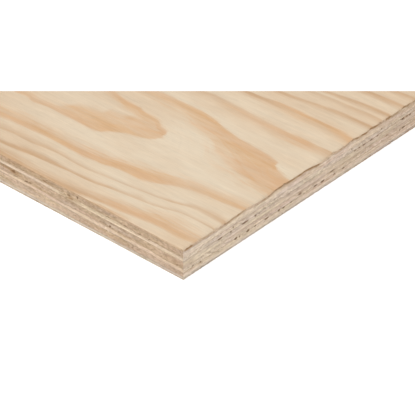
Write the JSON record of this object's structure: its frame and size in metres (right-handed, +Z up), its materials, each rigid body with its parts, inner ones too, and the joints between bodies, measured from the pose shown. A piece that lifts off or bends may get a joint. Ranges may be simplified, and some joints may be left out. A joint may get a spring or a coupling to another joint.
{
  "type": "plywood sheet",
  "caption": "Flat rectangular softwood plywood sheet of cross-laminated veneers with square sawn edges, for sheathing, flooring, shelving and joinery.",
  "frame": {"origin": "centre of the sheet's back face, on the floor", "axes": "+X along the sheet's length and its face grain, +Y across its width, +Z up through its thickness towards the face veneer"},
  "size_m": [2.44, 1.22, 0.018],
  "materials": {
    "face_veneer": "sanded bare pine, rotary-cut figure with orange latewood bands",
    "crossband": "sawn edge of pine veneer, end grain on the long edges",
    "core_veneer": "sawn edge of pine veneer, end grain on the short ends",
    "back_veneer": "bare pine, plain rotary-cut figure"
  },
  "bodies": {
    "root": {"back_veneer": "back_veneer", "lower_crossband": "crossband", "lower_core_veneer": "core_veneer", "middle_crossband": "crossband", "upper_core_veneer": "core_veneer", "upper_crossband": "crossband", "face_veneer": "face_veneer"}
  },
  "joints": []
}
